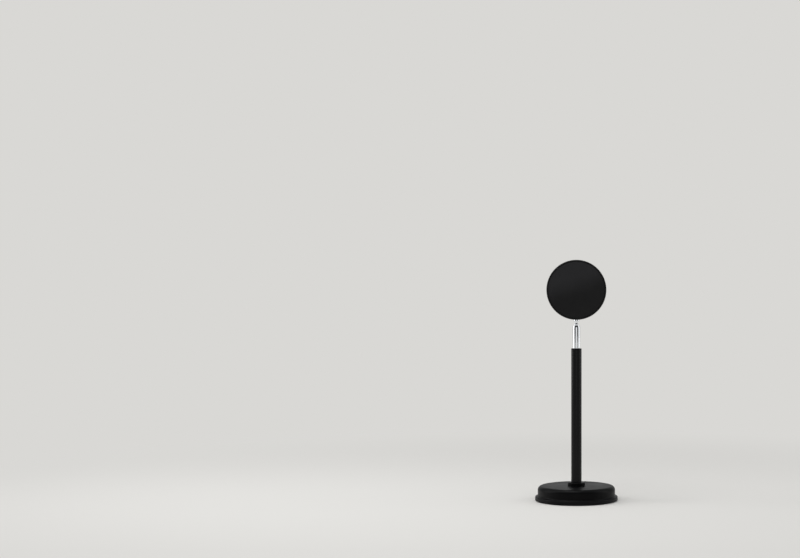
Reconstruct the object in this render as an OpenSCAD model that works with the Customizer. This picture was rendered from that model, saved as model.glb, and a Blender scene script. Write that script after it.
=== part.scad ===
// Sunset projection lamp: a weighted round base, a slim pole, a slotted ball joint
// and a drum-shaped head that throws a coloured disc of light through a lens.
// The lens looks along +Y, +Z is up, the origin is the centre of the base's underside.

/* [Base] */
// Diameter over the rolled lip at the foot of the base
base_d = 100; // [92:1:120]
// Height of the base's flat top above the table
base_h = 18; // [16:0.5:26]
// How far the lip stands out beyond the base's straight side
lip_reach = 3.2; // [2.8:0.1:6]
// Height of the lip above the bottom plate
lip_over_plate = 2.5; // [1.75:0.25:3]
// Radius of the lip's rounded upper edge
lip_round = 1.2; // [0.5:0.1:1.6]
// Radius of the hollow between the lip and the base's straight side
lip_fillet = 1.5; // [0.8:0.1:1.9]
// Radius of the edge between the base's top and its side
base_round = 5; // [3:0.25:6]
// Thickness of the pressed steel cover
cover_wall = 1.2; // [0.8:0.1:1.6]
// Height of the cover's lower rim above the table
rim_lift = 0.8; // [0.4:0.1:1.2]
// Thickness of the foam pad
pad_t = 1.5; // [1:0.25:2.5]
// How far the pad stays inside the edge of the bottom plate
pad_inset = 1.2; // [0.5:0.1:3]
// Thickness of the bottom plate
plate_t = 1.5; // [1.2:0.1:2]
// Gap round the bottom plate
plate_gap = 0.2; // [0.1:0.05:0.5]
// Height of the cast weight
weight_h = 9; // [7:0.5:10]
// Thickness of the weight's web between the bolt head and the cover
web_t = 4; // [3:0.25:5]
// Diameter of the weight's pocket for the bolt head
pocket_d = 18; // [16:0.5:22]
// Number of screws through the bottom plate
plate_screws = 3; // [3:1:6]
// Radius of the circle that the plate screws stand on
plate_screw_circle = 32; // [24:1:36]
// Diameter of the bosses that take the plate screws
plate_boss_d = 8; // [7:0.5:10]

/* [Base bolt] */
// Thread diameter of the bolt
bolt_d = 6; // [5:0.5:7]
// Width across the flats of the bolt head
bolt_flats = 10; // [9:0.5:12]
// Height of the bolt head
bolt_head_h = 4; // [3:0.25:4.5]
// Diameter of the plain washer
bolt_washer_d = 13; // [12:0.5:15]
// Thickness of the plain washer
bolt_washer_t = 1.6; // [1:0.1:1.8]
// Thickness of the spring lock washer
lock_washer_t = 1.5; // [1:0.1:1.6]

/* [Pole] */
// Diameter of the pole
pole_d = 12.7; // [11.5:0.1:16]
// Wall of the pole
pole_wall = 1.2; // [0.9:0.1:1.5]
// Height of the pole's top above the base's top
pole_rise = 165.9; // [120:0.1:260]
// Diameter of the collar round the pole's foot
collar_d = 20.8; // [18:0.1:26]
// Height of the collar
collar_h = 4; // [3:0.25:6]
// Radius of the collar's upper edge
collar_round = 0.8; // [0.4:0.1:1.2]
// Length of the tapped plug in the pole's foot
plug_len = 16; // [12:0.5:24]
// Thickness of the top bush's flange
bush_flange_t = 1.2; // [0.8:0.1:2]
// Length of the top bush inside the pole
bush_len = 14; // [10:0.5:20]

/* [Ball joint] */
// Diameter of the socket barrel
barrel_d = 9; // [8.8:0.1:10]
// Length of the barrel above the pole
barrel_len = 27.6; // [24:0.1:34]
// Diameter of the spigot that turns in the bush
spigot_d = 6; // [5:0.1:6.5]
// Thickness of the washer under the bush
swivel_washer_t = 0.5; // [0.3:0.1:1]
// Height of the spring washer
swivel_spring_h = 0.9; // [0.6:0.1:1.4]
// Thickness of the circlip
circlip_t = 0.7; // [0.5:0.1:1]
// Diameter of the ball
ball_d = 6.8; // [6.4:0.05:7.1]
// Diameter of the neck above the ball
neck_d = 4.9; // [4.4:0.05:5.2]
// Diameter of the waist above the neck
waist_d = 3.9; // [3.2:0.1:4.2]
// Clearance between the neck and each side of the barrel's slot
slot_gap = 0.17; // [0.1:0.01:0.3]
// Height of the back notch's floor above the ball's centre
notch_floor = 0.8; // [0.4:0.05:1.2]
// How far the head tilts back, in degrees
tilt_back = 30; // [10:1:32]
// Clearance between the barrel and the stud's waist when the head is tilted over the slot
waist_gap = 1.2; // [0.8:0.05:2]
// Height of the cone that flares from the waist to the flange
cone_h = 2.6; // [2:0.1:3]
// Diameter of the flange that the head sits on
flange_d = 6.6; // [6:0.1:8]
// Distance from the ball's centre to the underside of the head
stud_rise = 9.75; // [9.5:0.05:13]
// Diameter of the thread above the flange
thread_d = 4; // [3:0.25:5]
// Height of the plastic seat under the ball
cup_h = 5.3; // [4:0.1:7]
// Number of disc springs under the seat
spring_count = 8; // [4:1:10]
// Thickness of one disc spring
spring_t = 0.4; // [0.3:0.05:0.5]
// Free height of one disc spring
spring_h = 0.9; // [0.7:0.05:1.1]

/* [Head housing] */
// Diameter of the drum
head_d = 72; // [70:0.5:90]
// Depth of the drum from its back to the front of the bezel
head_depth = 38; // [36:0.5:50]
// Wall of the shell at its two mouths
shell_wall = 1.8; // [1.6:0.1:2.4]
// Height of the step that the cover and the bezel seat on
seat_step = 0.4; // [0.3:0.1:0.8]
// Radius of the drum's rear and front edges
edge_round = 1.5; // [0.6:0.1:1.5]
// Thickness of the rear cover
cover_t = 2; // [1.6:0.1:2.5]
// How far the rear cover lies below the shell's rim
cover_recess = 0.2; // [0.1:0.05:0.5]
// Length of the spigots of the cover and the bezel
spigot_len = 4; // [3:0.25:5]
// Wall of these spigots
spigot_wall = 1.6; // [1.2:0.1:2]
// Thickness of the bezel in front of the shell
bezel_t = 3; // [2.5:0.1:4]
// Bore of the grommet that the supply cord passes
gland_bore_d = 3.2; // [2.6:0.1:3.6]
// Wall of the grommet inside the shell's hole
gland_wall = 0.7; // [0.5:0.1:1]
// How far the grommet's flanges reach past the hole
gland_flange = 0.6; // [0.4:0.1:0.9]
// Thickness of the grommet's flanges
gland_flange_t = 0.7; // [0.5:0.1:1]

/* [Optics] */
// Diameter of the projection lens
lens_d = 51; // [44:0.5:54]
// Thickness of the lens at its edge
lens_edge_t = 3; // [2:0.25:4]
// Height of the lens's dome
lens_dome = 3.5; // [2.5:0.1:5]
// Width of the lens's edge that is hidden under the bezel
lens_hold = 1.9; // [1.2:0.1:2.5]
// Thickness of the gasket between lens and bezel
gasket_t = 0.4; // [0.3:0.1:1]
// Wall of the lens tube
tube_wall = 1.7; // [1.2:0.1:2.2]
// Diameter of the colour filter
filter_d = 25; // [24:0.5:28]
// Thickness of the colour filter
filter_t = 1.1; // [0.7:0.1:1.5]
// Height of the colour filter above the heat sink
filter_stand = 7; // [5:0.25:9]
// Width of the ledge that holds the filter
filter_ledge = 1.5; // [1:0.1:2.5]
// Thickness of the filter's split retaining ring
retainer_t = 1.2; // [0.8:0.1:2]

/* [Light source] */
// Distance of the heat sink's front face behind the middle of the drum
sink_back = 2; // [1:0.25:4]
// Thickness of the heat sink's base
sink_base_t = 3; // [2:0.25:4]
// Height of the fins
fin_h = 6; // [4:0.25:6.5]
// Thickness of a fin
fin_t = 1.4; // [1:0.1:1.8]
// Distance from one fin to the next
fin_pitch = 5; // [4.6:0.1:7]
// Gap between the heat sink's rim and the shell
sink_gap = 6.8; // [6.8:0.1:9]
// Height of the shell's bosses in front of the heat sink
boss_h = 10; // [8:0.5:12]
// Diameter of the shell's bosses
boss_d = 6.4; // [6:0.1:7]
// Thickness of the thermal pad
thermal_t = 0.4; // [0.2:0.05:0.6]
// Diameter of the light source's board
board_d = 20; // [19:0.5:21]
// Thickness of both circuit boards
board_t = 1.6; // [1:0.1:1.8]
// Diameter of the light source
emitter_d = 9; // [7:0.25:10]
// Height of the light source
emitter_h = 0.8; // [0.5:0.1:1.2]
// Distance of the board's two screws from its middle
board_screw_off = 7.4; // [7:0.1:7.8]
// Height of the posts that carry the driver board
post_h = 1.4; // [1:0.1:2]
// Length of the driver board
driver_l = 37; // [34:0.5:42]
// Width of the driver board
driver_w = 24; // [22:0.5:28]
// Distance from the driver board's edges to its screws
driver_inset = 3; // [2.5:0.1:4]
// Distance of the wires from the middle of the head
wire_off = 11.6; // [11.4:0.1:11.8]
// Distance between the two wires
wire_gap = 2.2; // [2:0.1:2.6]
// Diameter of a wire over its insulation
wire_d = 1.2; // [1:0.1:1.4]

/* [Fits] */
// Running clearance on the radius of turning pieces
fit = 0.05; // [0.02:0.01:0.1]
// Clearance on the radius of pieces that are pushed together
slip = 0.1; // [0.05:0.01:0.2]
// Diameter of the small screws
screw_d = 3; // [2.5:0.25:3.5]
// Diameter of the two boards' screws
micro_screw_d = 2; // [1.6:0.1:2.2]

/* [Hidden] */

$fn = 96;
// Extra length of a cut past the face it opens
over = 1;
// Small chamfer on turned and moulded edges
edge = 0.4;

// Base, from the table up
base_r = base_d / 2;
body_r = base_r - lip_reach;
plate_z = pad_t;
plate_top = plate_z + plate_t;
lip_z = plate_top + lip_over_plate;
round_z = base_h - base_round;
fillet_x = body_r + lip_fillet;
fillet_z = lip_z + lip_fillet;
lip_in_r = base_r - cover_wall;
plate_r = lip_in_r - plate_gap;
under_top = base_h - cover_wall;
web_z = under_top - web_t;
weight_z = under_top - weight_h;
weight_r = body_r - base_round;
bolt_r = bolt_d / 2;
bolt_hole_r = bolt_r + slip;
washer_z = web_z - bolt_washer_t;
lock_z = washer_z - lock_washer_t;
bolt_head_z = lock_z - bolt_head_h;
screw_r = screw_d / 2;
screw_head_r = 1.9 * screw_r;
plate_screw_len = weight_z - plate_z + 3;

// Pole
pole_r = pole_d / 2;
pole_in_r = pole_r - pole_wall;
pole_top = base_h + pole_rise;
tube_top = pole_top - bush_flange_t;
bush_z = tube_top - bush_len;

// Ball joint
barrel_r = barrel_d / 2;
rim_z = pole_top + barrel_len;
spigot_r = spigot_d / 2;
swivel_washer_z = bush_z - swivel_washer_t;
swivel_spring_z = swivel_washer_z - swivel_spring_h;
circlip_z = swivel_spring_z - circlip_t;
groove_r = spigot_r - 0.5;
spigot_z = circlip_z - 1.6;
ball_r = ball_d / 2;
socket_r = ball_r + fit;
neck_r = neck_d / 2;
waist_r = waist_d / 2;
slot_r = neck_r + slot_gap;
ball_drop = sqrt(socket_r * socket_r - slot_r * slot_r);
ball_z = rim_z - ball_drop;
shoulder_h = 3.2;
shoulder_in = 0.5;
shoulder_r = (shoulder_in * shoulder_in + shoulder_h * shoulder_h) / (2 * shoulder_in);
waist_z = ball_z + barrel_r + waist_gap;
flange_z = waist_z + cone_h;
cup_top = ball_z - 1;
cup_z = cup_top - cup_h;
spring_step = spring_h + 0.02;
bore_z = cup_z - spring_count * spring_step;
thread_r = thread_d / 2;
seat_z = ball_z + stud_rise;

// Head: depths are measured forward from the middle of the drum
head_r = head_d / 2;
head_z = seat_z + head_r;
rear = -head_depth / 2;
front = head_depth / 2;
shell_front = front - bezel_t;
mouth_r = head_r - shell_wall;
shell_in_r = mouth_r - seat_step;
cover_back = rear + cover_recess;
cover_face = cover_back + cover_t;
rear_seat = cover_face + spigot_len;
front_seat = shell_front - spigot_len;
plug_r = mouth_r - slip;
stud_flat = head_r - shell_wall - seat_step - 1.1;
stud_washer_t = 0.8;
nut_h = 3.2;
nut_flats = 7 * thread_d / 4;
thread_top = stud_flat - stud_washer_t - nut_h - 0.6;
gland_bore_r = gland_bore_d / 2;
gland_r = gland_bore_r + gland_wall;
gland_flange_r = gland_r + gland_flange;
gland_in = sqrt(pow(shell_in_r, 2) - pow(gland_flange_r, 2));
stud_washer_r = 1.1 * thread_d;
gland_forward = (stud_washer_r + front_seat) / 2;

// Light source, filter and lens
sink_front = -sink_back;
sink_rear = sink_front - sink_base_t;
fin_rear = sink_rear - fin_h;
sink_r = shell_in_r - sink_gap;
boss_r = boss_d / 2;
boss_x = shell_in_r - boss_r - 0.1;
board_z = sink_front + thermal_t;
board_top = board_z + board_t;
board_r = board_d / 2;
filter_r = filter_d / 2;
filter_z = sink_front + filter_stand;
filter_bore_r = filter_r + 2 * slip;
tube_r = filter_bore_r + tube_wall;
retainer_z = filter_z + filter_t;
tube_cone_z = retainer_z + retainer_t + 0.3;
lens_r = lens_d / 2;
bezel_back = shell_front - 0.6;
lens_front = bezel_back - gasket_t;
lens_back = lens_front - lens_edge_t;
lens_bore_r = lens_r + 2 * slip;
lens_seat_r = lens_r - 1.2;
tube_rim_r = lens_bore_r + 1.2 * tube_wall;
window_r = lens_r - lens_hold;
dome_r = window_r + 0.9;
lens_curve_r = (dome_r * dome_r + lens_dome * lens_dome) / (2 * lens_dome);
micro_r = micro_screw_d / 2;
driver_z = cover_face + post_h;
driver_top = driver_z + board_t;
post_x = driver_l / 2 - driver_inset;
post_y = driver_w / 2 - driver_inset;
terminal_h = 2.2;
wire_r = wire_d / 2;
pad_x = board_r - 1.6;
wire_z = board_top + wire_d;

// Points along an arc, from angle a to angle b
function arc(x, y, r, a, b, n = 10, skip = 0) =
    [for (i = [skip:n]) let (t = a + (b - a) * i / n) [x + r * cos(t), y + r * sin(t)]];

module turned(points) {
    rotate_extrude() polygon(points);
}

module ring(inner, outer, z, h) {
    rotate_extrude() translate([inner, z]) square([outer - inner, h]);
}

module rod(r, z, h) {
    translate([0, 0, z]) cylinder(r = r, h = h);
}

// Copies on a circle, the first one at angle start
module around(count, radius, start = 0) {
    for (i = [0:count - 1]) rotate(start + i * 360 / count) translate([radius, 0, 0]) children();
}

// Cross recess for a screw whose head faces +Z at the origin
module cross_cut(r, depth) {
    for (a = [0, 90]) rotate(a) translate([-r, -r / 4, -depth]) cube([2 * r, r / 2, depth + over]);
}

// Countersunk screw that points up, its head flush with z = 0
module countersunk(r, head_r, length) {
    difference() {
        turned([[0, 0], [head_r, 0], [r, head_r - r], [r, length - edge], [r - edge, length], [0, length]]);
        mirror([0, 0, 1]) cross_cut(0.5 * head_r, 0.4 * r);
    }
}

// Pan head screw that points down, the underside of its head at z = 0
module pan_screw(r, length) {
    head_r = 1.8 * r;
    head_h = 1.2 * r;
    difference() {
        turned(concat([[0, -length], [r - 0.2, -length], [r, 0.2 - length], [r, 0], [head_r, 0]],
            arc(head_r - 0.6 * r, head_h - 0.6 * r, 0.6 * r, 0, 90, 6), [[0, head_h]]));
        translate([0, 0, head_h]) cross_cut(0.5 * head_r, 0.5 * r);
    }
}

// The head's own frame: the light leaves along its +Z, its +Y points down
module in_head() {
    translate([0, 0, head_z]) rotate([-90, 0, 0]) children();
}

// Round bar across the head that runs down, from y0 to y1, at depth z
module down(r, y0, y1, z = 0) {
    translate([0, y0, z]) rotate([-90, 0, 0]) cylinder(r = r, h = y1 - y0);
}

// Pressed cover: flat top, rounded edge, straight side and a rolled lip, one wall thick
module base_cover() {
    outside = concat(
        [[bolt_hole_r, base_h]],
        arc(body_r - base_round, round_z, base_round, 90, 0),
        arc(fillet_x, fillet_z, lip_fillet, 180, 270, 8),
        arc(base_r - lip_round, lip_z - lip_round, lip_round, 90, 0, 6),
        [[base_r, rim_lift + edge], [base_r - edge, rim_lift], [lip_in_r, rim_lift]]);
    inside = concat(
        [[lip_in_r, lip_z - cover_wall]],
        arc(fillet_x, fillet_z, lip_fillet + cover_wall, 270, 180, 10),
        arc(body_r - base_round, round_z, base_round - cover_wall, 0, 90, 10, 1),
        [[bolt_hole_r, under_top]]);
    color("#1b1b1c") turned(concat(outside, inside));
}

// Cast disc with a pocket for the bolt head and bosses for the plate screws
module base_weight() {
    color("#3d3f42") difference() {
        union() {
            turned([[bolt_hole_r, web_z], [bolt_hole_r, under_top], [weight_r - edge, under_top],
                [weight_r, under_top - edge], [weight_r, weight_z + edge], [weight_r - edge, weight_z],
                [pocket_d / 2, weight_z], [pocket_d / 2, web_z]]);
            around(plate_screws, plate_screw_circle, 90)
                rod(plate_boss_d / 2, plate_top, weight_z - plate_top + over);
        }
        around(plate_screws, plate_screw_circle, 90)
            rod(screw_r + fit, plate_top - over, plate_screw_len);
    }
}

module bottom_plate() {
    color("#55585c") difference() {
        rod(plate_r, plate_z, plate_t);
        around(plate_screws, plate_screw_circle, 90) translate([0, 0, plate_z]) {
            translate([0, 0, -over])
                cylinder(r1 = screw_head_r + slip + over, r2 = screw_r + slip,
                    h = screw_head_r - screw_r + over);
            cylinder(r = screw_r + slip, h = plate_t + over);
        }
    }
}

module bottom_plate_screws() {
    color("#9b9ea2") around(plate_screws, plate_screw_circle, 90)
        translate([0, 0, plate_z]) countersunk(screw_r, screw_head_r, plate_screw_len - 2);
}

module base_pad() {
    color("#232323") turned([[0, 0], [plate_r - pad_inset - edge, 0], [plate_r - pad_inset, edge],
        [plate_r - pad_inset, pad_t], [0, pad_t]]);
}

module base_bolt() {
    bolt_end = base_h + plug_len - 2;
    color("#8d9095") union() {
        rod(bolt_r, bolt_head_z + edge, bolt_end - bolt_head_z - edge);
        translate([0, 0, bolt_head_z]) cylinder(d = bolt_flats / cos(30), h = bolt_head_h, $fn = 6);
    }
}

module base_bolt_washer() {
    color("#b5b8bc") ring(bolt_hole_r + slip, bolt_washer_d / 2, washer_z, bolt_washer_t);
}

// Spring washer with one slanted cut
module base_bolt_lock_washer() {
    gap = 1.2;
    color("#7d8084") difference() {
        ring(bolt_hole_r, bolt_r + 2.4, lock_z, lock_washer_t);
        translate([0, 0, lock_z + lock_washer_t / 2]) rotate([20, 0, 0])
            translate([0, -gap / 2, -2 * lock_washer_t]) cube([2 * bolt_d, gap, 4 * lock_washer_t]);
    }
}

module pole_collar() {
    r = collar_d / 2;
    top = base_h + collar_h;
    bore = pole_r + slip;
    color("#161617") turned(concat(
        [[bore, base_h], [r, base_h]],
        arc(r - collar_round, top - collar_round, collar_round, 0, 90, 8),
        [[bore, top]]));
}

module pole_bottom_plug() {
    r = pole_in_r - fit;
    top = base_h + plug_len;
    color("#8d9095") turned([[bolt_r + fit, base_h], [r, base_h], [r, top - edge],
        [r - edge, top], [bolt_r + fit, top]]);
}

module pole_tube() {
    color("#18191a") ring(pole_in_r, pole_r, base_h, tube_top - base_h);
}

module pole_top_bush() {
    bore = spigot_r + fit;
    r = pole_in_r - fit;
    color("#101011") turned([[bore, bush_z], [r - edge, bush_z], [r, bush_z + edge], [r, tube_top],
        [pole_r, tube_top], [pole_r, pole_top - edge], [pole_r - edge, pole_top], [bore, pole_top]]);
}

// Cutter for the barrel's slot: round bottom at the origin's height, open at the top, along -Y
module slot_cut() {
    profile = concat(
        arc(0, 0, slot_r, 180, 360, 20),
        [[slot_r, ball_drop + over], [-slot_r, ball_drop + over]]);
    rotate([90, 0, 0]) linear_extrude(height = barrel_r + over) polygon(profile);
}

// Turned socket: spigot with a circlip groove below, ball socket under a crimped rim above,
// a deep slot on the lens side and a shallow notch behind that let the neck swing
module joint_barrel() {
    hem_z = pole_top + 1.4;
    hem = 0.15;
    shoulder_z = rim_z - shoulder_h;
    crimp_a = asin(ball_drop / socket_r);
    stop_spare = 1;
    outside = concat(
        [[0, spigot_z], [spigot_r - edge, spigot_z], [spigot_r, spigot_z + edge],
            [spigot_r, circlip_z - fit], [groove_r, circlip_z - fit],
            [groove_r, swivel_spring_z + fit], [spigot_r, swivel_spring_z + fit],
            [spigot_r, pole_top], [barrel_r - edge, pole_top], [barrel_r, pole_top + edge],
            [barrel_r, hem_z], [barrel_r - hem, hem_z + hem], [barrel_r - hem, hem_z + 3 * hem],
            [barrel_r, hem_z + 4 * hem]],
        arc(barrel_r - shoulder_r, shoulder_z, shoulder_r, 0, asin(shoulder_h / shoulder_r), 12));
    inside = concat(
        arc(0, ball_z, socket_r, crimp_a, 0, 8),
        [[socket_r, bore_z], [0, bore_z]]);
    color("#d9dbde") difference() {
        turned(concat(outside, inside));
        translate([0, 0, ball_z]) rotate(180) slot_cut();
        translate([0, 0, ball_z + notch_floor + slot_r]) slot_cut();
        // The neck's path at its back stop, with a degree to spare
        translate([0, 0, ball_z]) rotate([tilt_back + stop_spare, 0, 0])
            cylinder(r = slot_r, h = barrel_r + over);
    }
}

module swivel_washer() {
    color("#e8e4d8") ring(spigot_r + slip, pole_in_r - 3 * slip, swivel_washer_z, swivel_washer_t);
}

module swivel_spring_washer() {
    inner = spigot_r + slip;
    outer = spigot_r + 1.7;
    t = 0.35;
    color("#9b9ea2") turned([[inner, swivel_spring_z], [outer, swivel_spring_z + swivel_spring_h - t],
        [outer, swivel_spring_z + swivel_spring_h], [inner, swivel_spring_z + t]]);
}

module swivel_circlip() {
    gap = 2.4;
    color("#6f7276") difference() {
        ring(groove_r + fit, spigot_r + 1.3, circlip_z, circlip_t);
        translate([0, -gap / 2, circlip_z - over]) cube([2 * spigot_d, gap, circlip_t + 2 * over]);
    }
}

module friction_cup() {
    color("#ece9df") difference() {
        rod(socket_r - fit, cup_z, cup_h);
        translate([0, 0, ball_z]) sphere(r = ball_r + fit / 2);
        translate([0, 0, ball_z]) rotate(180) slot_cut();
    }
}

// Disc springs stacked face to face and back to back
module disc_springs() {
    inner = ball_r / 2;
    outer = socket_r - slip;
    rise = spring_h - spring_t;
    color("#8a8d91") for (i = [0:spring_count - 1]) {
        low = i % 2 == 0 ? 0 : rise;
        high = rise - low;
        translate([0, 0, bore_z + i * spring_step]) turned([[inner, low], [outer, high],
            [outer, high + spring_t], [inner, low + spring_t]]);
    }
}

// Ball, rounded neck, waist, cone, flange and thread turned from one bar
module ball_stud() {
    flange_top = seat_z - fit;
    thread_end = head_z - thread_top;
    flange_r = flange_d / 2;
    narrow = neck_r - waist_r;
    round_h = 1.2;
    neck_z = waist_z - round_h - 0.35;
    round_r = (narrow * narrow + round_h * round_h) / (2 * narrow);
    color("#d9dbde") union() {
        translate([0, 0, ball_z]) sphere(r = ball_r);
        turned(concat(
            [[0, ball_z], [neck_r, ball_z]],
            arc(neck_r - round_r, neck_z, round_r, 0, asin(round_h / round_r), 10),
            [[waist_r, waist_z], [flange_r, flange_z], [flange_r, flange_top - edge / 2],
                [flange_r - edge / 2, flange_top], [thread_r, flange_top],
                [thread_r, thread_end - edge], [thread_r - edge, thread_end], [0, thread_end]]));
    }
}

module stud_washer() {
    color("#b5b8bc") in_head() difference() {
        down(stud_washer_r, stud_flat - stud_washer_t, stud_flat);
        down(thread_r + slip, stud_flat - stud_washer_t - over, stud_flat + over);
    }
}

module stud_nut() {
    nut_y = stud_flat - stud_washer_t - nut_h;
    color("#9b9ea2") in_head() difference() {
        translate([0, nut_y, 0]) rotate([-90, 0, 0])
            cylinder(d = nut_flats / cos(30), h = nut_h, $fn = 6);
        down(thread_r + fit, nut_y - over, nut_y + nut_h + over);
    }
}

// Drum with a step at each mouth, three bosses for the heat sink and a flat for the stud
module head_shell() {
    color("#222223") in_head() difference() {
        union() {
            turned(concat(
                [[mouth_r, rear]],
                arc(head_r - edge_round, rear + edge_round, edge_round, 270, 360, 8),
                [[head_r, shell_front], [mouth_r, shell_front], [mouth_r, front_seat],
                    [shell_in_r, front_seat], [shell_in_r, rear_seat], [mouth_r, rear_seat]]));
            around(3, 0, 30) {
                translate([boss_x, 0, 0]) rod(boss_r, sink_front, boss_h);
                translate([boss_x, -0.8 * boss_r, sink_front])
                    cube([head_r - shell_wall / 2 - boss_x, 1.6 * boss_r, boss_h]);
            }
            down(1.3 * thread_d, stud_flat, head_r - shell_wall / 2);
        }
        down(thread_r + fit, stud_flat - over, head_r + over);
        down(gland_r, shell_in_r - over, head_r + over, gland_forward);
        around(3, boss_x, 30) rod(screw_r + fit, sink_front - over, boss_h - 1 + over);
    }
}

// Plain disc with a spigot and the driver board's posts
module rear_cover() {
    round = 0.5;
    inner = plug_r - spigot_wall;
    color("#262627") in_head() difference() {
        union() {
            turned(concat(
                [[0, cover_back]],
                arc(plug_r - round, cover_back + round, round, 270, 360, 6),
                [[plug_r, rear_seat], [inner, rear_seat], [inner, cover_face], [0, cover_face]]));
            for (x = [-post_x, post_x], y = [-post_y, post_y])
                translate([x, y, 0]) rod(2 * micro_r, cover_face - cover_t / 2, post_h + cover_t / 2);
        }
        for (x = [-post_x, post_x], y = [-post_y, post_y])
            translate([x, y, 0]) rod(micro_r + fit, driver_z - post_h - 1, post_h + 1 + over);
    }
}

// Front ring with a bevelled window and a spigot
module front_bezel() {
    inner = plug_r - spigot_wall;
    color("#1e1e1f") in_head() turned(concat(
        [[window_r, bezel_back], [inner, bezel_back], [inner, front_seat], [plug_r, front_seat],
            [plug_r, shell_front], [head_r, shell_front]],
        arc(head_r - edge_round, front - edge_round, edge_round, 0, 90, 8),
        [[window_r + 2.6, front], [window_r, bezel_back + 1]]));
}

// Flat behind, domed in front
module projection_lens() {
    color("#dfe8ee", 0.5) in_head() union() {
        rod(lens_r, lens_back, lens_edge_t);
        intersection() {
            translate([0, 0, lens_front + lens_dome - lens_curve_r]) sphere(r = lens_curve_r, $fn = 180);
            rod(lens_r, lens_front - lens_edge_t / 2, 2 * lens_dome + lens_edge_t);
        }
    }
}

module lens_gasket() {
    color("#111111") in_head() ring(dome_r + slip, lens_r - slip, lens_front, gasket_t);
}

// Straight collar on the heat sink with a ledge for the filter, then a cone up to the lens
module lens_tube() {
    color("#121213") in_head() turned([
        [filter_bore_r, sink_front], [tube_r, sink_front], [tube_r, tube_cone_z],
        [tube_rim_r, lens_back - tube_wall], [tube_rim_r, bezel_back], [lens_bore_r, bezel_back],
        [lens_bore_r, lens_back], [lens_seat_r, lens_back], [lens_seat_r, lens_back - tube_wall / 2],
        [filter_bore_r, tube_cone_z], [filter_bore_r, filter_z], [filter_r - filter_ledge, filter_z],
        [filter_r - filter_ledge, filter_z - 1], [filter_bore_r, filter_z - 2]]);
}

module colour_filter() {
    color("#e8803a", 0.7) in_head() rod(filter_r, filter_z, filter_t);
}

module filter_retainer() {
    gap = 3;
    color("#9b9ea2") in_head() difference() {
        ring(filter_r - filter_ledge, filter_bore_r - slip / 2, retainer_z, retainer_t);
        translate([0, -gap / 2, retainer_z - over]) cube([filter_d, gap, retainer_t + 2 * over]);
    }
}

// Round base with three ears, parallel fins behind and holes for the wires
module heat_sink() {
    fins = floor(sink_r / fin_pitch);
    color("#a9adb2") in_head() difference() {
        union() {
            rod(sink_r, sink_rear, sink_base_t);
            around(3, 0, 30) {
                translate([boss_x, 0, 0]) rod(boss_r, sink_rear, sink_base_t);
                translate([0, -0.8 * boss_r, sink_rear]) cube([boss_x, 1.6 * boss_r, sink_base_t]);
            }
            for (i = [-fins:fins - 1]) let (y = (i + 0.5) * fin_pitch, x = sqrt(pow(sink_r - 1, 2) - y * y))
                translate([-x, y - fin_t / 2, fin_rear]) cube([2 * x, fin_t, fin_h + sink_base_t / 2]);
        }
        around(3, boss_x, 30) rod(screw_r + slip, sink_rear - over, sink_base_t + 2 * over);
        for (y = [-1, 1] * wire_gap / 2)
            translate([wire_off, y, 0]) rod(wire_r + slip, sink_rear - over, sink_base_t + 2 * over);
        for (y = [-1, 1] * board_screw_off)
            translate([0, y, 0]) rod(micro_r + fit, sink_rear + 0.4, sink_base_t + over);
    }
}

module heat_sink_screws() {
    color("#9b9ea2") in_head() around(3, boss_x, 30)
        translate([0, 0, sink_rear]) mirror([0, 0, 1]) pan_screw(screw_r, sink_base_t + boss_h - 3);
}

module thermal_pad() {
    color("#7f9bb0") in_head() difference() {
        rod(board_r - 0.5, sink_front, thermal_t);
        for (y = [-1, 1] * board_screw_off)
            translate([0, y, 0]) rod(micro_r + slip, sink_front - over, thermal_t + 2 * over);
    }
}

module led_board() {
    color("#e9e9e4") in_head() difference() {
        rod(board_r, board_z, board_t);
        for (y = [-1, 1] * board_screw_off)
            translate([0, y, 0]) rod(micro_r + slip, board_z - over, board_t + 2 * over);
    }
}

// Round substrate with a low dome of phosphor
module led_emitter() {
    r = emitter_d / 2;
    color("#e8c23a") in_head() turned([[0, board_top], [r, board_top], [r, board_top + emitter_h / 2],
        [0.85 * r, board_top + emitter_h / 2], [0.7 * r, board_top + 0.9 * emitter_h],
        [0, board_top + emitter_h]]);
}

module led_board_screws() {
    color("#9b9ea2") in_head() for (y = [-1, 1] * board_screw_off)
        translate([0, y, board_top]) pan_screw(micro_r, board_t + thermal_t + sink_base_t - 1);
}

module driver_board() {
    color("#1f5a36") in_head() difference() {
        translate([-driver_l / 2, -driver_w / 2, driver_z]) cube([driver_l, driver_w, board_t]);
        for (x = [-post_x, post_x], y = [-post_y, post_y])
            translate([x, y, 0]) rod(micro_r + slip, driver_z - over, board_t + 2 * over);
    }
}

module driver_inductor() {
    color("#3a3b3d") in_head() translate([-5, 3, driver_top]) union() {
        cylinder(r = 3.4, h = 2.1);
        translate([-3.1, -3.1, 0]) cube([6.2, 6.2, 1.1]);
    }
}

module driver_capacitors() {
    color("#b9a06a") in_head() for (x = [-12, 4]) translate([x, -6.5, driver_top]) cube([3.2, 2.5, 1.9]);
}

module driver_chip() {
    color("#1a1a1b") in_head() translate([-5.5, -7, driver_top]) cube([5, 4, 1.3]);
}

module driver_terminal() {
    w = wire_gap + wire_d + 1.6;
    color("#e4e2da") in_head() translate([wire_off - 2.5, -w / 2, driver_top]) cube([5, w, terminal_h]);
}

module driver_screws() {
    color("#9b9ea2") in_head() for (x = [-post_x, post_x], y = [-post_y, post_y])
        translate([x, y, driver_top]) pan_screw(micro_r, board_t + post_h + 0.6);
}

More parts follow.
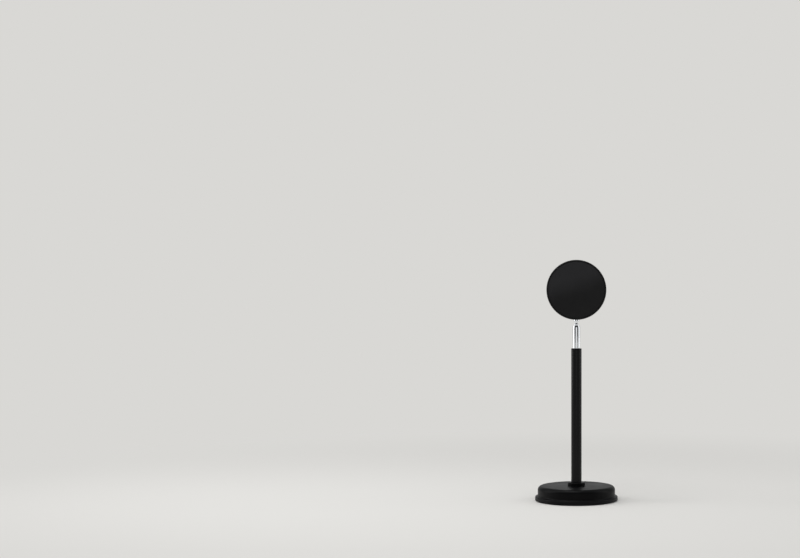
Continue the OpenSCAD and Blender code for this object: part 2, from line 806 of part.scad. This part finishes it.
// Wire from the driver's terminal, forward through the heat sink and down to its pad
module led_wire(y) {
    low = driver_top + terminal_h;
    in_head() union() {
        translate([wire_off, y, 0]) rod(wire_r, low, wire_z - low);
        translate([wire_off, y, wire_z]) sphere(r = wire_r);
        translate([pad_x, y, wire_z]) rotate([0, 90, 0]) cylinder(r = wire_r, h = wire_off - pad_x);
        translate([pad_x, y, wire_z]) sphere(r = wire_r);
        translate([pad_x, y, 0]) rod(wire_r, board_top, wire_z - board_top);
    }
}

module led_wire_red() {
    color("#b3261e") led_wire(-wire_gap / 2);
}

module led_wire_black() {
    color("#141414") led_wire(wire_gap / 2);
}

// Rubber grommet in the drum's underside, its bore takes the supply cord
module cable_gland() {
    color("#101010") in_head() difference() {
        union() {
            down(gland_r - slip, gland_in - gland_flange_t, head_r + gland_flange_t, gland_forward);
            down(gland_flange_r, gland_in - gland_flange_t, gland_in, gland_forward);
            down(gland_flange_r, head_r, head_r + gland_flange_t, gland_forward);
        }
        down(gland_bore_r, gland_in - gland_flange_t - over, head_r + gland_flange_t + over,
            gland_forward);
    }
}

base_cover();
base_weight();
bottom_plate();
bottom_plate_screws();
base_pad();
base_bolt();
base_bolt_washer();
base_bolt_lock_washer();
pole_collar();
pole_bottom_plug();
pole_tube();
pole_top_bush();
joint_barrel();
swivel_washer();
swivel_spring_washer();
swivel_circlip();
friction_cup();
disc_springs();
ball_stud();
stud_washer();
stud_nut();
head_shell();
rear_cover();
front_bezel();
projection_lens();
lens_gasket();
lens_tube();
colour_filter();
filter_retainer();
heat_sink();
heat_sink_screws();
thermal_pad();
led_board();
led_emitter();
led_board_screws();
driver_board();
driver_inductor();
driver_capacitors();
driver_chip();
driver_terminal();
driver_screws();
led_wire_red();
led_wire_black();
cable_gland();
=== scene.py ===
# Sunset projection lamp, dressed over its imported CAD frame. Metres, +Y is the way the lens looks.
import math

import bpy
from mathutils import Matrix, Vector


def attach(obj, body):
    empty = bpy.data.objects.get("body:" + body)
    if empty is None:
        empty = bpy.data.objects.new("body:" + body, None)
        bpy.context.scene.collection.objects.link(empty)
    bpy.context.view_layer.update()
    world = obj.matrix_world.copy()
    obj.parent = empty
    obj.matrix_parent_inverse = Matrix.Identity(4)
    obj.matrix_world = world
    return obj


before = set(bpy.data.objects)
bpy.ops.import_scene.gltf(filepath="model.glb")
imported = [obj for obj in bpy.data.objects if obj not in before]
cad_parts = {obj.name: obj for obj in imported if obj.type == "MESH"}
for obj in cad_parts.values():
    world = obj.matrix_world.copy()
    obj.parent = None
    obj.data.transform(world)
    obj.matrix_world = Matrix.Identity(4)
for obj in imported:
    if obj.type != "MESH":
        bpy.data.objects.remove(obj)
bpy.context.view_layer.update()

# Base weight: a grey iron casting under the cover that keeps the slim lamp upright. Its skin is
# the rough one that the sand mould leaves, because nobody sees it.
FIRST, SECOND, MIXED = 6, 7, 2  # a Mix node's two colours and the colour it gives, by number


def linear(code):
    """An sRGB hex colour as linear red, green, blue and alpha."""
    parts = [int(code[i:i + 2], 16) / 255 for i in (1, 3, 5)]
    return [c / 12.92 if c <= 0.04045 else ((c + 0.055) / 1.055) ** 2.4 for c in parts] + [1.0]


def add(tree, kind, settings=None):
    """Adds a node to a tree. Settings are its inputs, by name or number, or its own properties.
    An input gets the value, or a link where the value is another node's output."""
    made = tree.nodes.new(kind)
    for name, value in (settings or {}).items():
        if isinstance(value, bpy.types.NodeSocket):
            tree.links.new(value, made.inputs[name])
        elif isinstance(name, int) or name in made.inputs.keys():
            made.inputs[name].default_value = value
        else:
            setattr(made, name, value)
    return made


def skin(name, tones, patch, rough, grain=None, depth=None, **shader):
    """A material that drifts between two tones and two roughnesses over patches, with a grain.
    Patch, grain and depth are in millimetres. Further settings, such as Coat_Weight, go to the
    shader's inputs of those names. Without tones or a grain, the section links its own."""
    made = bpy.data.materials.new(name)
    made.use_nodes = True
    tree = made.node_tree
    tree.nodes.clear()
    place = add(tree, "ShaderNodeTexCoord").outputs["Object"]
    drift = add(tree, "ShaderNodeTexNoise", {"Scale": 1000 / patch, "Detail": 3.0, "Vector": place})
    # The noise seldom leaves 0.3 to 0.7
    spread = add(tree, "ShaderNodeMapRange", {"From Min": 0.3, "From Max": 0.7,
                                              "Value": drift.outputs["Fac"]}).outputs["Result"]
    gloss = add(tree, "ShaderNodeMapRange", {"To Min": rough[0], "To Max": rough[1], "Value": spread})
    settings = {key.replace("_", " "): value for key, value in shader.items()}
    settings["Roughness"] = gloss.outputs["Result"]
    if tones:
        pale, deep = tones
        tint = add(tree, "ShaderNodeMix", {"data_type": "RGBA", "Factor": spread,
                                           FIRST: linear(pale), SECOND: linear(deep)})
        settings["Base Color"] = tint.outputs[MIXED]
    if grain:
        pits = add(tree, "ShaderNodeTexNoise", {"Scale": 1000 / grain, "Detail": 2.0, "Vector": place})
        relief = add(tree, "ShaderNodeBump", {"Strength": 1.0, "Distance": depth / 1000,
                                              "Height": pits.outputs["Fac"]})
        settings["Normal"] = relief.outputs["Normal"]
    surface = add(tree, "ShaderNodeBsdfPrincipled", settings)
    add(tree, "ShaderNodeOutputMaterial", {"Surface": surface.outputs["BSDF"]})
    return made


def dress(material, *names):
    """Gives CAD nodes that keep their own shape this material."""
    for name in names:
        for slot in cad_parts[name].material_slots:
            slot.material = material


# Sand-cast iron: dull grey with a coarse grain that scatters the light
cast_iron = skin("sand_cast_iron", ("#62646a", "#4c4e52"), patch=14, rough=(0.6, 0.8), grain=0.9,
                 depth=0.08, Metallic=0.85)
dress(cast_iron, "base_weight")

# Base bolt, washers, plug and bottom plate: bright zinc plated steel, as bought or pressed. The bolt
# draws pole, collar, cover and weight together, and three countersunk screws hold the plate.

# Zinc plating: pale bluish grey, with the faint spangle that blurs its highlights
zinc = skin("zinc_plated_steel", ("#c3c7cc", "#a9adb4"), patch=3.5, rough=(0.26, 0.42), grain=0.5,
            depth=0.012, Metallic=1.0)
dress(zinc, "base_bolt", "base_bolt_washer", "pole_bottom_plug", "bottom_plate", "bottom_plate_screws")

# Hardened spring steel: darker, oiled, with a little straw colour from tempering
spring_steel = skin("tempered_spring_steel", ("#8c8983", "#6e7076"), patch=2.0, rough=(0.24, 0.36),
                    grain=0.4, depth=0.01, Metallic=1.0)
dress(spring_steel, "base_bolt_lock_washer")

# Foot pad: closed-cell foam rubber, die cut and glued to the bottom plate. Its edge is what touches
# the table, in the shadow under the lip.
CELL = 1.3         # millimetres; closed cells are about 0.4, drawn coarse so that they show
CELL_DEPTH = 0.2   # millimetres


def workings(material):
    """A material's node tree, its object coordinates and its shader, for a section to add to."""
    tree = material.node_tree
    return tree, tree.nodes["Texture Coordinate"].outputs["Object"], tree.nodes["Principled BSDF"]


# Foam rubber: soft charcoal with small dents where the cells were cut open
foam = skin("closed_cell_foam", ("#2b2b2c", "#232324"), patch=9, rough=(0.85, 0.95), IOR=1.4)
tree, place, shader = workings(foam)
cells = add(tree, "ShaderNodeTexVoronoi", {"Scale": 1000 / CELL, "Vector": place})
dents = add(tree, "ShaderNodeBump", {"Strength": 0.8, "Distance": CELL_DEPTH / 1000,
                                     "Height": cells.outputs["Distance"]})
tree.links.new(dents.outputs["Normal"], shader.inputs["Normal"])
dress(foam, "base_pad")

# Base cover: a steel pressing with a flat top, a well rounded edge and a straight side that ends in
# a rolled lip, painted matt black. The weight fills it.
SPRAY = 1.5         # millimetres; the sprayed grain is about 0.4, drawn coarse so that it shows
RUB_START = 0.0488  # how far out fingers begin to polish the lip
RUB_END = 0.0499    # and where they polish it most
RUB_MOST = 0.2      # how much brighter it gets there
BASE_TOP = 0.0176   # everything above this is the flat top
DUST = 2.381        # millimetres; real specks are a tenth of that, drawn coarse so that they show
DUST_AND_SHEEN_MOST = 0.35    # how much of the paint the thickest dust and painted sheen hide

# Matt black paint: a fine even texture from the spray gun, a breath of dust on the flat top that is also
# a painted sheen there, and the lip rubbed a little brighter where fingers lift the lamp
paint = skin("matt_black_paint", ("#070708", "#050506"), patch=22, rough=(0.38, 0.46), grain=SPRAY,
             depth=0.02, IOR=1.5, Specular_IOR_Level=0.08)
tree, place, shader = workings(paint)
tint = shader.inputs["Base Color"].links[0].from_socket
xyz = add(tree, "ShaderNodeSeparateXYZ", {0: place}).outputs
outward = add(tree, "ShaderNodeCombineXYZ", {"X": xyz["X"], "Y": xyz["Y"]}).outputs[0]
reach = add(tree, "ShaderNodeVectorMath", {"operation": "LENGTH", 0: outward}).outputs["Value"]
rubbed = add(tree, "ShaderNodeMapRange", {"From Min": RUB_START, "From Max": RUB_END,
                                          "To Max": RUB_MOST, "Value": reach}).outputs["Result"]
tint = add(tree, "ShaderNodeMix", {"data_type": "RGBA", "Factor": rubbed, FIRST: tint,
                                   SECOND: linear("#232426")}).outputs[MIXED]
dust_and_sheen_specks = add(tree, "ShaderNodeTexNoise", {"Scale": 1000 / DUST, "Detail": 4.0, "Roughness": 0.7,
                                          "Vector": place}).outputs["Fac"]
# The noise seldom passes 0.6, so the dust and painted sheen lie in scattered specks
dust_and_sheen_specks = add(tree, "ShaderNodeMapRange", {"From Min": 0.6, "From Max": 0.8, "To Max": DUST_AND_SHEEN_MOST,
                                          "Value": dust_and_sheen_specks}).outputs["Result"]
# Dust and painted sheen: only the flat top turns lighter, both for dust and for the grazing sheen that
# the light lays on it
on_top = add(tree, "ShaderNodeMath", {"operation": "GREATER_THAN", 0: xyz["Z"], 1: BASE_TOP}).outputs[0]
dust_and_sheen = add(tree, "ShaderNodeMath", {"operation": "MULTIPLY", 0: dust_and_sheen_specks, 1: on_top}).outputs[0]
tint = add(tree, "ShaderNodeMix", {"data_type": "RGBA", "Factor": dust_and_sheen, FIRST: tint,
                                   SECOND: linear("#2c2b2e")}).outputs[MIXED]
tree.links.new(tint, shader.inputs["Base Color"])
dress(paint, "base_cover")

# Pole collar: a turned ring that hides the joint between pole and base. It is painted like the
# cover, and the bolt draws it down on the cover's top.
dress(paint, "pole_collar")

# Pole: drawn steel tube with a semi-gloss black lacquer. The lacquer lies thin, so the tube's draw
# lines still show as long streaks in its highlight.
DRAW_LINE = 0.9     # millimetres across; the real lines are 0.1, drawn coarse so that they show
DRAW_LENGTH = 60.0  # millimetres along the tube
DRAW_DEPTH = 0.02   # millimetres

# Semi-gloss lacquer over drawn steel: a deep black with a sharp streak of light down each side
lacquer = skin("semi_gloss_lacquer", ("#08080a", "#060607"), patch=35, rough=(0.2, 0.26), IOR=1.5,
               Specular_IOR_Level=0.15, Coat_Weight=0.05, Coat_Roughness=0.15)
tree, place, shader = workings(lacquer)
drawn = add(tree, "ShaderNodeMapping", {"Scale": (1000 / DRAW_LINE, 1000 / DRAW_LINE, 1000 / DRAW_LENGTH),
                                        "Vector": place}).outputs[0]
lines = add(tree, "ShaderNodeTexNoise", {"Scale": 1.0, "Detail": 2.0, "Vector": drawn}).outputs["Fac"]
streaks = add(tree, "ShaderNodeBump", {"Strength": 0.6, "Distance": DRAW_DEPTH / 1000, "Height": lines})
tree.links.new(streaks.outputs["Normal"], shader.inputs["Normal"])
dress(lacquer, "pole_tube")

# Top bush: black acetal, turned and pushed into the pole. Its flange is the dark line at the
# pole's top, and the joint's spigot turns in it.

# Acetal: waxy black plastic with fine turning marks
acetal = skin("turned_black_acetal", ("#080809", "#060607"), patch=6, rough=(0.34, 0.44), grain=0.7,
              depth=0.01, IOR=1.48, Specular_IOR_Level=0.15)
dress(acetal, "pole_top_bush")

# Ball joint: barrel and ball stud turned from brass or steel bar, polished and chrome plated. The
# barrel's rim is crimped over the ball, and springs push a nylon seat against it from below.
SMUDGE = 5.0  # millimetres; fingerprints on the two pieces that a hand turns

# Bright chrome: cold and nearly a mirror, dulled a little where it has been touched
chrome = skin("bright_chrome", ("#eceef0", "#e2e5e8"), patch=SMUDGE, rough=(0.03, 0.06), grain=1.2,
              depth=0.0001, Metallic=1.0)
dress(chrome, "joint_barrel", "ball_stud")

# Natural nylon: milky, slightly see-through plastic, moulded
nylon = skin("natural_nylon", ("#ece7da", "#e0dac9"), patch=5, rough=(0.38, 0.5), grain=0.8,
             depth=0.01, IOR=1.53, Subsurface_Weight=0.2)
dress(nylon, "swivel_washer", "friction_cup", "driver_terminal")
dress(spring_steel, "swivel_spring_washer", "swivel_circlip", "disc_springs")
dress(zinc, "stud_washer", "stud_nut")

# Head shell: an aluminium drum, turned and painted with a fine-textured matt black. The driver's
# cover closes it behind, the bezel in front, and the stud's nut clamps it to the joint.
SAND = 1.4  # millimetres; the paint's sandy grain is about 0.3, drawn coarse so that it shows

# Textured black on aluminium: matt, with a fine sandy grain that catches soft light
drum_paint = skin("textured_black_on_aluminium", ("#101011", "#0c0c0d"), patch=30, rough=(0.5, 0.62),
                  grain=SAND, depth=0.05, IOR=1.5, Specular_IOR_Level=0.18)
dress(drum_paint, "head_shell")

# Rear cover: the plain disc that the photograph shows, moulded in black ABS from a spark-eroded
# mould. Posts inside carry the driver board.
SPARK = 1.5               # millimetres; the texture is about 0.2, drawn coarse so that it shows
LIT_SIDE = (-0.35, 0.0, 1.0)  # the way the painted light comes from: up and a little left, seen from behind
LIT_START = 0.245        # how far that way the painted light starts
LIT_END = 0.275          # and where it is full

# Spark-textured ABS: even matt black, with painted light that makes it a shade lighter towards the top
# and a little left, where the light falls from
textured_abs = skin("spark_textured_abs", ("#131314", "#0f0f10"), patch=26, rough=(0.52, 0.64),
                    grain=SPARK, depth=0.05, IOR=1.53, Specular_IOR_Level=0.18)
tree, place, shader = workings(textured_abs)
tint = shader.inputs["Base Color"].links[0].from_socket
# Painted light: the colour turns a shade lighter towards the upper left, standing in for the light that
# falls there
toward_light = add(tree, "ShaderNodeVectorMath", {"operation": "DOT_PRODUCT", 0: place, 1: LIT_SIDE})
painted_light = add(tree, "ShaderNodeMapRange", {"interpolation_type": "SMOOTHSTEP", "From Min": LIT_START,
                                           "From Max": LIT_END, "Value": toward_light.outputs["Value"]})
tint = add(tree, "ShaderNodeMix", {"data_type": "RGBA", "Factor": painted_light.outputs["Result"],
                                   FIRST: tint, SECOND: linear("#242426")}).outputs[MIXED]
tree.links.new(tint, shader.inputs["Base Color"])
dress(textured_abs, "rear_cover")

# Heat sink: a finned aluminium disc, machined, with a silicone pad in front that passes the light
# source's heat on to it. Three screws hold it to the shell's bosses.

# Machined aluminium: pale silvery grey, with the soft gloss of fine tool marks
machined = skin("machined_aluminium", ("#c2c5c9", "#aeb2b7"), patch=4, rough=(0.28, 0.4), grain=0.5,
                depth=0.01, Metallic=1.0)
dress(machined, "heat_sink")

# Thermal silicone: a soft blue-grey sheet with no shine
silicone = skin("thermal_silicone", ("#93a9b8", "#8299aa"), patch=4, rough=(0.7, 0.8), grain=0.7,
                depth=0.02, IOR=1.41)
dress(silicone, "thermal_pad")
dress(zinc, "heat_sink_screws", "led_board_screws", "driver_screws")

# Light source: an aluminium board, printed white, screwed down on the thermal pad. A round emitter
# under phosphor sits in its middle.

# White solder mask: a bright coat with a satin gloss, which throws stray light forwards
white_mask = skin("white_solder_mask", ("#ecebe6", "#e2e1da"), patch=5, rough=(0.3, 0.42), grain=0.8,
                  depth=0.006, IOR=1.5)
dress(white_mask, "led_board")

# Phosphor in silicone: the warm yellow of an emitter that is off, soft and slightly see-through
phosphor = skin("phosphor_in_silicone", ("#f0cf4a", "#e3b92f"), patch=1.8, rough=(0.4, 0.5), grain=0.5,
                depth=0.02, IOR=1.41, Subsurface_Weight=0.3)
dress(phosphor, "led_emitter")

# Solder joints: two small domes of tin, made by hand, where the wires meet the board's pads. They
# hold the wires and carry the current.
HEAD_MIDDLE = 0.255005  # height of the lens's axis
PAD_OFFSET = 0.0084     # from that axis to the pads
WIRE_SPACING = 0.0022   # from one wire to the other
BOARD_FACE = 0.0        # where the board's front lies along Y
DOME_RADIUS = 0.0008
DOME_FORM = (1.0, 0.6, 1.0)  # solder wets the pad, so the dome is flatter than a ball


def new_tree(name, sizes):
    """A Geometry Nodes tree with named inputs for its sizes. Returns it and those inputs."""
    tree = bpy.data.node_groups.new(name, "GeometryNodeTree")
    tree.interface.new_socket("Geometry", in_out="OUTPUT", socket_type="NodeSocketGeometry")
    for label, kind in sizes.items():
        tree.interface.new_socket(label, in_out="INPUT", socket_type=kind)
    return tree, tree.nodes.new("NodeGroupInput").outputs


def close_tree(tree, shape, material):
    """Ends a tree: the shape is shaded smooth, gets its material and goes out."""
    smooth = add(tree, "GeometryNodeSetShadeSmooth", {0: shape})
    done = add(tree, "GeometryNodeSetMaterial", {0: smooth.outputs[0], "Material": material})
    add(tree, "NodeGroupOutput", {0: done.outputs[0]})


def grow(name, tree, values, body):
    """Runs a tree with these values and keeps its result as a plain mesh that rides on a body."""
    holder = bpy.data.objects.new(name + "_holder", bpy.data.meshes.new(name + "_holder"))
    bpy.context.scene.collection.objects.link(holder)
    modifier = holder.modifiers.new(name, "NODES")
    modifier.node_group = tree
    for socket in tree.interface.items_tree:
        if socket.in_out == "INPUT":
            modifier[socket.identifier] = values[socket.name]
    graph = bpy.context.evaluated_depsgraph_get()
    mesh = bpy.data.meshes.new_from_object(holder.evaluated_get(graph), depsgraph=graph)
    holder.modifiers.clear()
    bpy.data.objects.remove(holder)
    piece = bpy.data.objects.new(name, mesh)
    bpy.context.scene.collection.objects.link(piece)
    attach(piece, body)


# Tin solder: bright silver-grey, with the smooth shine of a joint that set undisturbed
solder = skin("tin_solder", ("#c9cbcc", "#b7babd"), patch=1.2, rough=(0.18, 0.32), grain=0.4,
              depth=0.01, Metallic=1.0)
tree, sizes = new_tree("solder_domes", {"First": "NodeSocketVector", "Step": "NodeSocketVector",
                                        "Radius": "NodeSocketFloat", "Material": "NodeSocketMaterial"})
spots = add(tree, "GeometryNodeMeshLine", {"mode": "OFFSET", "Count": 2, "Start Location": sizes["First"],
                                           "Offset": sizes["Step"]})
dome = add(tree, "GeometryNodeMeshUVSphere", {"Segments": 16, "Rings": 10, "Radius": sizes["Radius"]})
placed = add(tree, "GeometryNodeInstanceOnPoints", {"Scale": DOME_FORM, "Points": spots.outputs[0],
                                                    "Instance": dome.outputs[0]})
real = add(tree, "GeometryNodeRealizeInstances", {0: placed.outputs[0]})
close_tree(tree, real.outputs[0], sizes["Material"])
grow("solder_joints", tree, {"First": (PAD_OFFSET, BOARD_FACE, HEAD_MIDDLE - WIRE_SPACING / 2),
                             "Step": (0.0, 0.0, WIRE_SPACING), "Radius": DOME_RADIUS,
                             "Material": solder},
     "head")

# Driver: a small green board that keeps the current steady, screwed to the rear cover's posts. It
# carries a coil, two capacitors, a chip and the wires' terminal.

# Green solder mask: the usual dark green of a circuit board, with a satin gloss
green_mask = skin("green_solder_mask", ("#2f7a4c", "#276b41"), patch=3, rough=(0.3, 0.42), grain=0.8,
                  depth=0.01, IOR=1.5)
dress(green_mask, "driver_board")

# Pressed ferrite: dull dark grey, like slate
ferrite = skin("pressed_ferrite", ("#55565a", "#47484b"), patch=3, rough=(0.6, 0.75), grain=0.5,
               depth=0.02, IOR=1.6)
dress(ferrite, "driver_inductor")

# Fired ceramic: sandy tan with little shine
ceramic = skin("fired_ceramic", ("#c9b283", "#bba373"), patch=1.5, rough=(0.4, 0.55), grain=0.4,
               depth=0.01, IOR=1.6)
dress(ceramic, "driver_capacitors")

# Moulded epoxy: the flat near-black of a chip's housing
epoxy = skin("moulded_black_epoxy", ("#232325", "#1b1b1c"), patch=2, rough=(0.5, 0.65), grain=0.5,
             depth=0.01, IOR=1.53)
dress(epoxy, "driver_chip")

# Wires: two short leads, drawn copper in PVC, red and black. They run from the driver's terminal
# through the heat sink to the light source.

# Soft PVC: an even colour with the slightly greasy gloss of an extruded sleeve
red_pvc = skin("red_pvc", ("#c23a30", "#a92d25"), patch=4, rough=(0.3, 0.4), grain=0.6, depth=0.01,
               IOR=1.53)
black_pvc = skin("black_pvc", ("#1c1c1d", "#141415"), patch=4, rough=(0.3, 0.4), grain=0.6, depth=0.01,
                 IOR=1.53)
dress(red_pvc, "led_wire_red")
dress(black_pvc, "led_wire_black")

# Colour filter: coated glass behind the lens, held by a split ring of spring steel. Its coating
# runs from red in the middle through orange to yellow at the rim, which gives the projected disc
# its sunset.
FILTER_RADIUS = 0.0125

# Coated glass: glossy, tinted by the coating, and it lets about half of the light through
coating = skin("coated_filter_glass", None, patch=12, rough=(0.03, 0.07), grain=2.0, depth=0.001,
               IOR=1.5, Transmission_Weight=0.6)
tree, place, shader = workings(coating)
centred = add(tree, "ShaderNodeMapping", {"Location": (0.0, 0.0, -HEAD_MIDDLE),
                                         "Scale": (1.0, 0.0, 1.0), "Vector": place}).outputs[0]
reach = add(tree, "ShaderNodeVectorMath", {"operation": "LENGTH", 0: centred}).outputs["Value"]
reach = add(tree, "ShaderNodeMapRange", {"From Max": FILTER_RADIUS, "Value": reach}).outputs["Result"]
sunset = add(tree, "ShaderNodeValToRGB", {"Fac": reach})
middle, rim = sunset.color_ramp.elements
middle.color = linear("#e8551f")
rim.color = linear("#f7cf2e")
between = sunset.color_ramp.elements.new(0.6)
between.color = linear("#f0931f")
tree.links.new(sunset.outputs["Color"], shader.inputs["Base Color"])
dress(coating, "colour_filter")
dress(spring_steel, "filter_retainer")

# Lens tube: black ABS cone between heat sink and lens. Fine ridges round its inside keep stray
# light from the disc's edge.
RIDGE_COUNT = 5
RIDGE_SECTION = 0.0003  # radius of a ridge's own round section
RIDGE_START = 0.0081    # where the first one lies along Y
RIDGE_STEP = 0.00058    # from one to the next
RIDGE_REACH = 0.0143    # radius of the first one
RIDGE_GROWTH = 0.0019   # how much wider each next one is, as the cone opens

# Flat black ABS: the dullest black on the lamp
dull_abs = skin("flat_black_abs", ("#151516", "#101011"), patch=8, rough=(0.75, 0.9), grain=0.9,
                depth=0.04, IOR=1.53)
dress(dull_abs, "lens_tube")
tree, sizes = new_tree("baffle_ridges", {
    "Count": "NodeSocketInt", "First": "NodeSocketVector", "Step": "NodeSocketVector",
    "Radius": "NodeSocketFloat", "Growth": "NodeSocketFloat", "Section": "NodeSocketFloat",
    "Material": "NodeSocketMaterial"})
spots = add(tree, "GeometryNodeMeshLine", {"mode": "OFFSET", "Count": sizes["Count"],
                                           "Start Location": sizes["First"], "Offset": sizes["Step"]})
number = add(tree, "GeometryNodeInputIndex")
grown = add(tree, "ShaderNodeMath", {"operation": "MULTIPLY_ADD", 0: number.outputs[0],
                                     1: sizes["Growth"], 2: sizes["Radius"]})
# A loop of radius 1 is scaled to each ridge's radius
loop = add(tree, "GeometryNodeCurvePrimitiveCircle", {"Resolution": 96, "Radius": 1.0})
placed = add(tree, "GeometryNodeInstanceOnPoints", {"Rotation": (math.pi / 2, 0.0, 0.0),
                                                    "Points": spots.outputs[0],
                                                    "Instance": loop.outputs[0],
                                                    "Scale": grown.outputs[0]})
real = add(tree, "GeometryNodeRealizeInstances", {0: placed.outputs[0]})
wire = add(tree, "GeometryNodeCurvePrimitiveCircle", {"Resolution": 8, "Radius": sizes["Section"]})
ridge = add(tree, "GeometryNodeCurveToMesh", {0: real.outputs[0], 1: wire.outputs[0]})
close_tree(tree, ridge.outputs[0], sizes["Material"])
grow("baffle_rings", tree, {"Count": RIDGE_COUNT, "First": (0.0, RIDGE_START, HEAD_MIDDLE),
                            "Step": (0.0, RIDGE_STEP, 0.0), "Radius": RIDGE_REACH,
                            "Growth": RIDGE_GROWTH, "Section": RIDGE_SECTION,
                            "Material": dull_abs},
     "head")

# Lens: plano-convex, pressed from clear glass and polished. The bezel holds it in the drum's mouth
# on a ring of moulded rubber.

# Clear lens glass: polished, with the trace of green that thick glass has
lens_glass = skin("clear_lens_glass", ("#f3f8f5", "#eef5f1"), patch=20, rough=(0.0, 0.02), grain=3.0,
                  depth=0.0005, IOR=1.52, Transmission_Weight=1.0)
dress(lens_glass, "projection_lens")

# Moulded rubber: dull black with a soft bloom
rubber = skin("moulded_black_rubber", ("#1c1c1c", "#151515"), patch=3, rough=(0.7, 0.85), grain=0.8,
              depth=0.02, IOR=1.5)
dress(rubber, "lens_gasket")

# Front bezel: a ring of the rear cover's black ABS with a bevelled window, pushed into the drum's
# mouth over the lens
dress(textured_abs, "front_bezel")

# Grommet: a ring of the gasket's rubber, pressed into the drum's underside, where the supply cord
# goes in
dress(rubber, "cable_gland")

# Floor: a plain pale sweep at the lamp's foot. Round the lamp it keeps the lamp's shadow, and
# further off it goes over into the backdrop's own colour for the camera and in reflections.
BACKDROP = linear("#d9d8d5")
FLOOR_SIZE = 8.0
SHADOW_REACH = 0.15  # from the lamp to where the floor begins to go over
FLOOR_END = 0.9      # and to where it looks like the backdrop

bpy.ops.mesh.primitive_plane_add(size=FLOOR_SIZE)
floor = bpy.context.object
floor.name = "floor"
pale_floor = bpy.data.materials.new("pale_floor")
pale_floor.use_nodes = True
tree = pale_floor.node_tree
tree.nodes.clear()
place = add(tree, "ShaderNodeTexCoord").outputs["Object"]
away = add(tree, "ShaderNodeVectorMath", {"operation": "LENGTH", 0: place}).outputs["Value"]
away = add(tree, "ShaderNodeMapRange", {"interpolation_type": "SMOOTHSTEP", "From Min": SHADOW_REACH,
                                        "From Max": FLOOR_END, "Value": away}).outputs["Result"]
rays = add(tree, "ShaderNodeLightPath").outputs
seen = add(tree, "ShaderNodeMath", {"operation": "MAXIMUM", 0: rays["Is Camera Ray"],
                                    1: rays["Is Glossy Ray"]}).outputs[0]
seen = add(tree, "ShaderNodeMath", {"operation": "MAXIMUM", 0: seen,
                                    1: rays["Is Transmission Ray"]}).outputs[0]
fade = add(tree, "ShaderNodeMath", {"operation": "MULTIPLY", 0: away, 1: seen}).outputs[0]
matt = add(tree, "ShaderNodeBsdfDiffuse", {"Color": linear("#dad9d6")}).outputs[0]
far = add(tree, "ShaderNodeEmission", {"Color": BACKDROP, "Strength": 1.0}).outputs[0]
both = add(tree, "ShaderNodeMixShader", {0: fade, 1: matt, 2: far}).outputs[0]
add(tree, "ShaderNodeOutputMaterial", {"Surface": both})
floor.data.materials.append(pale_floor)

# Light: a tall soft strip on each side, a box above, and a plain grey room. Mirrors see the room as
# pale and dark bands instead, as between a studio's flags, which draws the stripes in the chrome.
AIM = Vector((0.0, 0.0, 0.15))  # about the lamp's middle
# Name, place, watts, width and height
BOXES = (("left_strip", (-1.05, 0.02, 0.6), 4.2, 0.35, 1.2),
         ("right_strip", (1.05, 0.05, 0.6), 2.4, 0.35, 1.2),
         ("top_box", (-0.3, -0.3, 1.5), 11.0, 1.0, 1.0))
ROOM = 0.48  # the room's level as it lights the lamp
# Where the bands change, from the lens's side (0) round to the camera's (1), and the level there
FLAGS = ((0.1, 0.65), (0.13, 0.12), (0.24, 0.12), (0.28, 0.75), (0.45, 0.8), (0.52, 0.42), (0.8, 0.3),
         (0.87, 0.08), (0.97, 0.08), (0.985, 0.95))

for name, spot, power, width, height in BOXES:
    light = bpy.data.lights.new(name, "AREA")
    light.shape = "RECTANGLE"
    light.energy = power
    light.size = width
    light.size_y = height
    box = bpy.data.objects.new(name, light)
    bpy.context.scene.collection.objects.link(box)
    box.location = spot
    box.rotation_euler = (AIM - box.location).to_track_quat("-Z", "Y").to_euler()
world = bpy.data.worlds.new("studio")
world.use_nodes = True
bpy.context.scene.world = world
tree = world.node_tree
tree.nodes.clear()
way = add(tree, "ShaderNodeTexCoord").outputs["Generated"]
way = add(tree, "ShaderNodeSeparateXYZ", {0: way}).outputs["Y"]
way = add(tree, "ShaderNodeMapRange", {"From Min": 1.0, "From Max": -1.0, "Value": way}).outputs["Result"]
bands = add(tree, "ShaderNodeValToRGB", {"Fac": way})
for _ in FLAGS[2:]:  # a new ramp has two stops
    bands.color_ramp.elements.new(1.0)
for stop, (position, level) in zip(bands.color_ramp.elements, FLAGS):
    stop.position = position
    stop.color = (level, level, level, 1.0)
rays = add(tree, "ShaderNodeLightPath").outputs
through = add(tree, "ShaderNodeMath", {"operation": "MAXIMUM", 0: rays["Is Camera Ray"],
                                       1: rays["Is Transmission Ray"]}).outputs[0]
room = add(tree, "ShaderNodeMix", {"data_type": "RGBA", "Factor": rays["Is Glossy Ray"],
                                   FIRST: (ROOM, ROOM, ROOM, 1.0), SECOND: bands.outputs["Color"]})
shown = add(tree, "ShaderNodeMix", {"data_type": "RGBA", "Factor": through,
                                    FIRST: room.outputs[MIXED], SECOND: BACKDROP})
glow = add(tree, "ShaderNodeBackground", {"Strength": 1.0, "Color": shown.outputs[MIXED]})
add(tree, "ShaderNodeOutputWorld", {"Surface": glow.outputs[0]})

# Camera: level and straight behind the lamp, as the photograph was taken. The lamp stands right of
# the picture's middle because the picture is shifted. The camera isn't turned.
DISTANCE = 1.94
EYE_HEIGHT = 0.268
PICTURE_WIDTH = 800   # pixels
POLE_COLUMN = 576.4   # where the pole stands in it
FOCAL_LENGTH = 72.1   # millimetres, on a sensor of the width below
SENSOR_WIDTH = 36.0

view = bpy.data.cameras.new("camera")
view.sensor_width = SENSOR_WIDTH
view.lens = FOCAL_LENGTH
view.shift_x = (PICTURE_WIDTH / 2 - POLE_COLUMN) / PICTURE_WIDTH
camera = bpy.data.objects.new("camera", view)
bpy.context.scene.collection.objects.link(camera)
camera.location = (0.0, -DISTANCE, EYE_HEIGHT)
camera.rotation_euler = (math.pi / 2, 0.0, 0.0)
bpy.context.scene.camera = camera
bpy.context.scene.view_settings.view_transform = "Standard"
